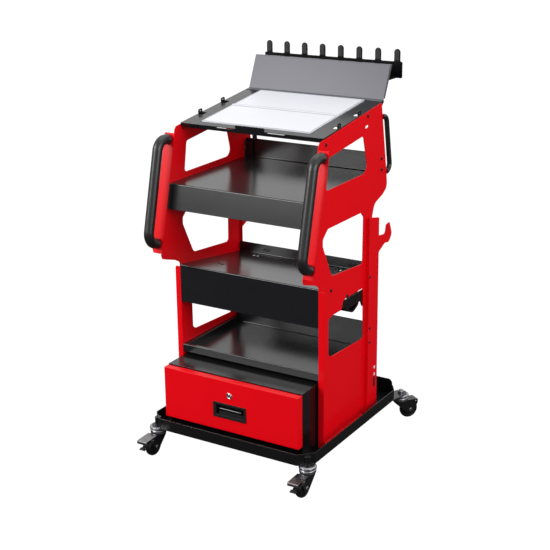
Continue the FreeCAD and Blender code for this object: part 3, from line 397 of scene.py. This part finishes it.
finishes = {
    "redPaint": (coatGroup, {
        "Colour": linear(233, 7, 21), "Worn Colour": linear(226, 52, 58), "Roughness": 0.3, "Peel": 0.14,
        "Dust": 0.004, "Wear": 0.22, "Fold": 0.0016,
    }, {"Coat Weight": 0.04, "Coat Roughness": 0.1, "Specular IOR Level": 0.14}),
    "blackPaint": (coatGroup, {
        "Colour": linear(14, 14, 16), "Worn Colour": linear(84, 84, 88), "Roughness": 0.21, "Peel": 0.3,
        "Dust": 0.012, "Wear": 0.34, "Fold": 0.0014,
    }, {"Specular IOR Level": 0.52}),
    "shelfPaint": (coatGroup, {
        "Colour": linear(21, 21, 24), "Worn Colour": linear(98, 98, 102), "Roughness": 0.2, "Peel": 0.26,
        "Dust": 0.014, "Wear": 0.34, "Fold": 0.0014,
    }, {"Specular IOR Level": 0.6}),
    "boardPaint": (coatGroup, {
        "Colour": linear(86, 86, 94), "Worn Colour": linear(150, 150, 155), "Roughness": 0.36, "Peel": 0.3,
        "Dust": 0.02, "Wear": 0.3, "Fold": 0.0014,
    }, {"Specular IOR Level": 0.5}),
    "steelSheet": (plateGroup, {
        "Colour": linear(182, 184, 188), "Roughness": 0.34, "Lines": 0.3, "Tarnish": 0.2,
    }, {"Metallic": 1.0}),
    "zincPlate": (plateGroup, {
        "Colour": linear(176, 177, 182), "Roughness": 0.24, "Lines": 0.2, "Tarnish": 0.3,
    }, {"Metallic": 1.0}),
    "lockChrome": (plateGroup, {
        "Colour": linear(225, 226, 230), "Roughness": 0.12, "Lines": 0.1, "Tarnish": 0.1,
    }, {"Metallic": 1.0}),
    "blackBolt": (plateGroup, {
        "Colour": linear(46, 44, 46), "Roughness": 0.32, "Lines": 0.1, "Tarnish": 0.3,
    }, {"Metallic": 0.8}),
    "pedalSteel": (plateGroup, {
        "Colour": linear(150, 146, 148), "Roughness": 0.22, "Lines": 0.25, "Tarnish": 0.4,
    }, {"Metallic": 1.0}),
    "gripFoam": (grainGroup, {
        "Colour": linear(22, 22, 24), "Roughness": 0.34, "Grain Size": 1300.0, "Depth": 0.22, "Mottle": 0.15,
    }, {"Specular IOR Level": 0.6}),
    "tubeBlack": (coatGroup, {
        "Colour": linear(18, 18, 20), "Worn Colour": linear(80, 80, 84), "Roughness": 0.3, "Peel": 0.3,
        "Dust": 0.01, "Wear": 0.2, "Fold": 0.0008,
    }, {}),
    "blackPlastic": (grainGroup, {
        "Colour": linear(22, 22, 24), "Roughness": 0.36, "Grain Size": 1100.0, "Depth": 0.3, "Mottle": 0.2,
    }, {"Specular IOR Level": 0.6}),
    "casterPlastic": (grainGroup, {
        "Colour": linear(20, 20, 22), "Roughness": 0.3, "Grain Size": 1400.0, "Depth": 0.16, "Mottle": 0.2,
    }, {"Specular IOR Level": 0.5}),
    "hubPlastic": (grainGroup, {
        "Colour": linear(14, 14, 16), "Roughness": 0.16, "Grain Size": 1500.0, "Depth": 0.06, "Mottle": 0.15,
    }, {"Coat Weight": 0.3}),
    "tyreRubber": (grainGroup, {
        "Colour": linear(14, 14, 15), "Roughness": 0.32, "Grain Size": 1000.0, "Depth": 0.25, "Mottle": 0.35,
    }, {"Specular IOR Level": 0.5}),
    "padRubber": (grainGroup, {
        "Colour": linear(20, 20, 22), "Roughness": 0.42, "Grain Size": 900.0, "Depth": 0.4, "Mottle": 0.2,
    }, {}),
    "whitePanel": (grainGroup, {
        "Colour": linear(214, 215, 221), "Roughness": 0.38, "Grain Size": 700.0, "Depth": 0.1, "Mottle": 0.03,
    }, {}),
    "printedGrey": (grainGroup, {
        "Colour": linear(112, 113, 119), "Roughness": 0.5, "Grain Size": 900.0, "Depth": 0.1, "Mottle": 0.1,
    }, {}),
}
materials = {name: groupMaterial(name, *values) for name, values in finishes.items()}

slotFinish = {
    "red_paint": "redPaint", "black_paint": "blackPaint", "grey_paint": "shelfPaint",
    "steel_sheet": "steelSheet", "handle_tube": "tubeBlack", "grip_foam": "gripFoam",
    "black_plastic": "blackPlastic", "pad_rubber": "padRubber", "white_panel": "whitePanel",
    "bolt_black": "blackBolt", "zinc": "zincPlate", "lock_chrome": "lockChrome",
    "caster_plastic": "casterPlastic", "tyre_rubber": "tyreRubber", "hub_plastic": "hubPlastic",
    "pedal_steel": "pedalSteel",
}
nodeFinish = {"back_board": "boardPaint"}  # lighter than the shelves in the same slot
for entry in frame["record"]["subparts"]:
    owner = nodes[entry["node"]]
    owner.data.materials.clear()
    finish = nodeFinish.get(entry["node"], slotFinish[entry["material_slot"]])
    owner.data.materials.append(materials[finish])
print("materials ready")

# detail pieces


def lathe(bm, profile, steps, place):
    # profile rows are radius, height and, for a six-sided ring, True
    rings = []
    for radius, height, *sixSided in profile:
        ring = []
        for step in range(steps if radius > 1e-6 else 1):
            turn = 2 * math.pi * step / steps
            shrink = math.cos(math.pi / 6) / math.cos(turn % (math.pi / 3) - math.pi / 6) if sixSided else 1
            across = radius * shrink
            point = Vector((across * math.cos(turn), across * math.sin(turn), height))
            ring.append(bm.verts.new(place @ point))
        rings.append(ring)
    for lower, upper in zip(rings, rings[1:]):
        for step in range(steps):
            after = (step + 1) % steps
            corners = [
                lower[step % len(lower)], lower[after % len(lower)], upper[after % len(upper)],
                upper[step % len(upper)],
            ]
            corners = list(dict.fromkeys(corners))  # a row on the axis is one point
            if len(corners) > 2:
                bm.faces.new(corners)


def prism(bm, outline, low, high, origin, axis=0):
    # closed outline in the two other axes, in mm, drawn out from low to high along one axis
    rings = []
    for reach in (low, high):
        ring = []
        for first, second in outline:
            point = [first, second]
            point.insert(axis, reach)
            ring.append(bm.verts.new(Vector(origin) + Vector(point) / 1000))
        rings.append(ring)
    bm.faces.new(rings[0])
    bm.faces.new(list(reversed(rings[1])))
    for index in range(len(outline)):
        after = (index + 1) % len(outline)
        bm.faces.new((rings[0][after], rings[0][index], rings[1][index], rings[1][after]))


def frameAt(point, axis):
    place = Vector(axis).to_track_quat("Z", "Y").to_matrix().to_4x4()
    place.translation = Vector(point)
    return place


def islands(nodeName):
    # lowest and highest corner of each separate solid in a node
    bm = bmesh.new()
    bm.from_mesh(nodes[nodeName].data)
    bmesh.ops.remove_doubles(bm, verts=bm.verts, dist=0.00002)
    left = set(bm.verts)
    found = []
    while left:
        pending = [left.pop()]
        members = []
        while pending:
            vert = pending.pop()
            members.append(vert.co.copy())
            for edge in vert.link_edges:
                other = edge.other_vert(vert)
                if other in left:
                    left.remove(other)
                    pending.append(other)
        low = Vector(min(co[axis] for co in members) for axis in range(3))
        high = Vector(max(co[axis] for co in members) for axis in range(3))
        found.append((low, high))
    bm.free()
    return sorted(found, key=lambda pair: tuple(round(value, 4) for value in pair[0]))


bolts = {
    "steps": 24, "headHeight": 0.0028, "usualRadius": 0.0055, "hexAcross": 0.0026, "hexDepth": 0.0019,
    "shankRadius": 0.0029, "shankDepth": 0.0016, "seatDepth": 0.0026, "roundWithin": 0.0003,
}


def makeBoltHeads(nodeName, pieceName):
    # low domed heads with a hex socket, one on each bolt of the node
    tall, shank = bolts["headHeight"], bolts["shankRadius"]
    bm = bmesh.new()
    for low, high in islands(nodeName):
        span = high - low
        axis = 0 if abs(span.y - span.z) < bolts["roundWithin"] else 2
        radius = (span.y if axis == 0 else span.x) / 2
        base = (low + high) / 2
        outward = Vector((0, 0, 0))
        outward[axis] = 1 if axis == 2 or base.x > 0 else -1
        outer = high[axis] if outward[axis] > 0 else low[axis]
        base[axis] = outer - outward[axis] * bolts["seatDepth"]
        hexAcross = bolts["hexAcross"] * radius / bolts["usualRadius"]
        lathe(bm, [
            (shank, -bolts["shankDepth"]), (shank, 0), (radius, 0), (radius, tall * 0.28),
            (radius * 0.95, tall * 0.5), (radius * 0.82, tall * 0.74), (radius * 0.64, tall * 0.92),
            (hexAcross * 1.16, tall), (hexAcross * 1.1, tall, True), (hexAcross, tall * 0.94, True),
            (hexAcross, tall - bolts["hexDepth"], True), (0, tall - bolts["hexDepth"] * 1.12),
        ], bolts["steps"], frameAt(base, outward))
    piece = addPiece(pieceName, bm, "blackBolt", "trolley", False)
    shadeByAngle(piece, 35)
    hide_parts(nodeName)


makeBoltHeads("panel_bolts", "socketBoltsPanel")
makeBoltHeads("frame_bolts", "socketBoltsFrame")
print("bolt heads ready")

wheels = {
    "steps": 72, "crown": 0.031, "half": 0.01, "grooveStep": 0.0003, "grooveDepth": 0.0006,
    "cover": [
        (0.0219, 0.0089), (0.0214, 0.0099), (0.0196, 0.0106), (0.0184, 0.0104), (0.0178, 0.0099),
        (0.0164, 0.0101), (0.0125, 0.0112), (0.0095, 0.0119), (0.0086, 0.0119), (0.0084, 0.0114),
        (0.0072, 0.0114), (0.0071, 0.0121),
    ],
}


def makeWheels():
    # tyre with two grooves, and a dished cover on both faces of each hub
    crown, half, steps = wheels["crown"], wheels["half"], wheels["steps"]
    grooveFloor = crown - wheels["grooveStep"] - wheels["grooveDepth"]
    side = [
        (0.0222, half * 0.99), (0.0236, half), (0.0256, half * 0.995), (0.0272, half * 0.93),
        (0.0286, half * 0.8), (0.02975, half * 0.6), (crown - 0.0005, half * 0.42),
        (grooveFloor, half * 0.36), (grooveFloor, half * 0.3), (crown - 0.0001, half * 0.24), (crown, 0.0003),
    ]
    profile = side + [(radius, -height) for radius, height in reversed(side)]
    for tag, joint in jointsNamed("roll_"):
        bm = bmesh.new()
        lathe(bm, profile + [profile[0]], steps, frameAt(joint["pos_m"], joint["axis"]))
        tread = addPiece("tread." + tag, bm, "tyreRubber", "wheel_" + tag)
        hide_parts("tyre_" + tag)
        bm = bmesh.new()
        for way in (1, -1):
            lathe(bm, wheels["cover"], steps, frameAt(joint["pos_m"], Vector(joint["axis"]) * way))
        cover = addPiece("hubCover." + tag, bm, "hubPlastic", "wheel_" + tag, False)
        shadeByAngle(cover, 40)


makeWheels()
print("wheels ready")

lock = {
    "steps": 48, "rim": 0.0095, "face": 0.0059, "gap": 0.0002, "backRadius": 0.0079, "rimBack": 0.0022,
    "length": 0.024,
}


def makeLock():
    # rounded chrome rim with a sleeve behind it, round the plug that turns
    low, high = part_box("lock_collar")
    centre = ((low[0] + high[0]) / 2, low[1], (low[2] + high[2]) / 2)
    rim, bore, sleeve = lock["rim"], lock["face"] + lock["gap"], lock["backRadius"]
    bm = bmesh.new()
    lathe(bm, [
        (rim, -lock["rimBack"]), (rim, -0.0011), (rim * 0.965, -0.0006), (rim * 0.9, -0.00015),
        (rim * 0.84, 0), (rim * 0.76, -0.0001), (rim * 0.7, -0.0005), (bore, -0.0009),
        (bore, -lock["length"]), (sleeve - 0.0001, -lock["length"] - 0.0002),
        (sleeve, -lock["rimBack"]), (rim, -lock["rimBack"]),
    ], lock["steps"], frameAt(centre, (0, -1, 0)))
    ring = addPiece("lockRim", bm, "lockChrome", "drawer", False)
    shadeByAngle(ring, 40)
    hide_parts("lock_collar")


makeLock()
print("lock ready")

covers = {"thick": 0.003, "edge": 0.0022, "line": 0.0015, "proud": 0.0003}


def makeCoverLines():
    # thin grey outline printed just inside the edge of each white cover
    thick, edge, proud = covers["thick"], covers["edge"], covers["proud"]
    bm = bmesh.new()
    for low, high in islands("display_panels"):
        lean = math.atan((high.z - thick - low.z) / (high.y - low.y))
        along = Vector((0, math.cos(lean), math.sin(lean)))
        out = Vector((0, -math.sin(lean), math.cos(lean)))
        foot = Vector(((low.x + high.x) / 2, low.y + thick * math.sin(lean), low.z))
        start = foot + out * (thick + proud)
        length = (high.y - low.y - thick * math.sin(lean)) / math.cos(lean)
        half = (high.x - low.x) / 2
        rings = []
        for inset in (edge, edge + covers["line"]):
            corners = [
                (-half + inset, inset), (half - inset, inset), (half - inset, length - inset),
                (-half + inset, length - inset),
            ]
            points = [start + Vector((across, 0, 0)) + along * up for across, up in corners]
            rings.append([bm.verts.new(point) for point in points])
        for index in range(4):
            after = (index + 1) % 4
            bm.faces.new((rings[0][index], rings[0][after], rings[1][after], rings[1][index]))
    piece = addPiece("coverLines", bm, "printedGrey", "trolley", False)
    depth = piece.modifiers.new("lineDepth", "SOLIDIFY")
    depth.thickness = proud * 0.9
    depth.offset = -1


makeCoverLines()
print("cover outlines ready")

grips = {
    "steps": 40, "foamRadius": 0.0151, "collarRadius": 0.0157, "collarLength": 0.006,
    "ends": ((0.9683, -0.1858, 0.085), (0.6686, -0.2568, 0.155)),  # height, depth and lean of the end
}


def makeGripCollars():
    # a thickened end ring where each foam grip meets its flange
    foam, radius, length = grips["foamRadius"], grips["collarRadius"], grips["collarLength"]
    profile = [
        (foam, 0), (radius, 0.0004), (radius + 0.0002, length * 0.5), (radius, length - 0.0006),
        (foam, length),
    ]
    for side in ("left", "right"):
        low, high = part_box("handle_grip_" + side)
        centreX = (low[0] + high[0]) / 2
        bm = bmesh.new()
        for height, depth, lean in grips["ends"]:
            lathe(bm, profile, grips["steps"], frameAt((centreX, depth, height), (0, -1, lean)))
        addPiece("gripEnds." + side, bm, "gripFoam", "trolley")


makeGripCollars()
print("grip collars ready")

pedal = {  # outlines in mm: depth from the stem, 50 behind the pivot, and height
    "pivotDepth": 0.05, "half": 17.6, "leverHalf": 5.5, "cheek": 1.7, "soft": 0.0005,
    "plate": [
        (-29, 67.3), (-29, 69.4), (-82.6, 67.6), (-85.4, 66.6), (-86.4, 64.2), (-86.4, 57), (-84.6, 57),
        (-84.4, 64.2), (-82.4, 65.6),
    ],
    "ear": [(-40, 68.2), (-44, 56), (-47, 52.6), (-52, 51), (-60, 51.6), (-64, 54), (-60, 67)],
    "lever": [
        (-60, 54.6), (-60, 51.8), (-64, 50.8), (-82, 38.9), (-86, 36.9), (-86.4, 39), (-83, 41), (-65, 53.4),
    ],
    "toe": [(-78, 43.4), (-78, 41.2), (-86, 36.6), (-86.4, 38.8)],
    "pinHead": [(0.0033, 0), (0.0033, 0.0006), (0.0024, 0.0012), (0, 0.0014)],
    "pin": [(0, -0.0155), (0.0021, -0.0155), (0.0021, 0.0155), (0, 0.0155)],
}


def makePedals():
    # folded steel toe pedal with cheeks and pin heads, over a plastic release lever
    half, leverHalf, cheek = pedal["half"], pedal["leverHalf"], pedal["cheek"]
    for tag, joint in jointsNamed("brake_"):
        pivot = joint["pos_m"]
        origin = (pivot[0], pivot[1] + pedal["pivotDepth"], 0)
        bm = bmesh.new()
        prism(bm, pedal["plate"], -half, half, origin)
        for low, high in ((-half, -half + cheek), (half - cheek, half)):
            prism(bm, pedal["ear"], low, high, origin)
        for side in (-1, 1):
            start = (pivot[0] + side * half / 1000, pivot[1], pivot[2])
            lathe(bm, pedal["pinHead"], 20, frameAt(start, (side, 0, 0)))
        plate = addPiece("toePedal." + tag, bm, "pedalSteel", "brake_" + tag, False)
        softenEdges(plate, pedal["soft"])
        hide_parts("brake_pedal_" + tag)
        bm = bmesh.new()
        prism(bm, pedal["lever"], -leverHalf, leverHalf, origin)
        for side in (-1, 1):
            low, high = sorted((side * leverHalf * 0.9, side * leverHalf * 1.9))
            prism(bm, pedal["toe"], low, high, origin)
        lathe(bm, pedal["pin"], 20, frameAt(pivot, (1, 0, 0)))
        lever = addPiece("releaseLever." + tag, bm, "casterPlastic", "brake_" + tag, False)
        softenEdges(lever, pedal["soft"])


makePedals()
print("pedals ready")

pull = {
    "barHalf": 0.041, "barRadius": 0.0042, "lift": 0.002, "depth": 0.0075, "stemAt": 0.8,
    "stem": [(0.0032, 0), (0.0028, 0.004), (0.003, 0.012)],
}


def makePullBar():
    # rounded finger bar across the hollow of the drawer pull, on two short stems
    low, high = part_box("recess_pull")
    middle = ((low[0] + high[0]) / 2, low[1] + pull["depth"], (low[2] + high[2]) / 2 + pull["lift"])
    radius, half = pull["barRadius"], pull["barHalf"]
    profile = [(0, -half)]
    for step in range(1, 6):
        turn = math.pi / 2 * step / 5
        profile.append((radius * math.sin(turn), -half + radius * (1 - math.cos(turn))))
    profile += [(across, -along) for across, along in reversed(profile)]
    bm = bmesh.new()
    lathe(bm, profile, 28, frameAt(middle, (1, 0, 0)))
    addPiece("pullBar", bm, "hubPlastic", "drawer")
    bm = bmesh.new()
    for side in (-1, 1):
        start = (middle[0] + side * half * pull["stemAt"], middle[1], middle[2])
        lathe(bm, pull["stem"], 18, frameAt(start, (0, 1, 0)))
    addPiece("pullBarStems", bm, "blackPlastic", "drawer")


makePullBar()
print("drawer pull ready")

paintedHoleFills = {
    "outerX": 0.253, "behind": 0.333, "heights": (0.229, 0.206), "radius": 0.0052, "steps": 32,
    "slotRadius": 5.7, "slotEnds": (193.4, 168.6), "slotProud": 0.5,  # the slot in mm
}


def makePaintedHoleFills():
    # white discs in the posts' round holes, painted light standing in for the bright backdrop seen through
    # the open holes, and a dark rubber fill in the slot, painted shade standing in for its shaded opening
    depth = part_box("middle_shelf")[0][1] + paintedHoleFills["behind"]
    radius, slotRadius, outer = paintedHoleFills["radius"], paintedHoleFills["slotRadius"], paintedHoleFills["outerX"] * 1000
    profile = [
        (radius * 0.82, -0.002), (radius * 0.82, 0), (radius, 0.0001), (radius, 0.0005),
        (radius * 0.9, 0.0011), (radius * 0.6, 0.0015), (0, 0.0016),
    ]
    outline = []
    for centre, start in zip(paintedHoleFills["slotEnds"], (0, math.pi)):
        for step in range(9):
            turn = start + math.pi * step / 8
            outline.append((slotRadius * math.cos(turn), centre + slotRadius * math.sin(turn)))
    for side, word in ((-1, "left"), (1, "right")):
        bm = bmesh.new()
        for height in paintedHoleFills["heights"]:
            # white discs: painted light where the open holes show the bright backdrop
            lathe(bm, profile, paintedHoleFills["steps"], frameAt((side * paintedHoleFills["outerX"], depth, height), (side, 0, 0)))
        addPiece("paintedBackdropPlugs." + word, bm, "whitePanel", "trolley")
        # dark rubber fill in the slot: painted shade where the open slot looks into shadow
        bm = bmesh.new()
        low, high = sorted((side * (outer - paintedHoleFills["slotProud"]), side * (outer + paintedHoleFills["slotProud"])))
        prism(bm, outline, low, high, (0, depth, 0))
        insert = addPiece("paintedShadeSlotFill." + word, bm, "padRubber", "trolley", False)
        softenEdges(insert, 0.0003)


makePaintedHoleFills()
print("post plugs ready")

print("pieces ready")
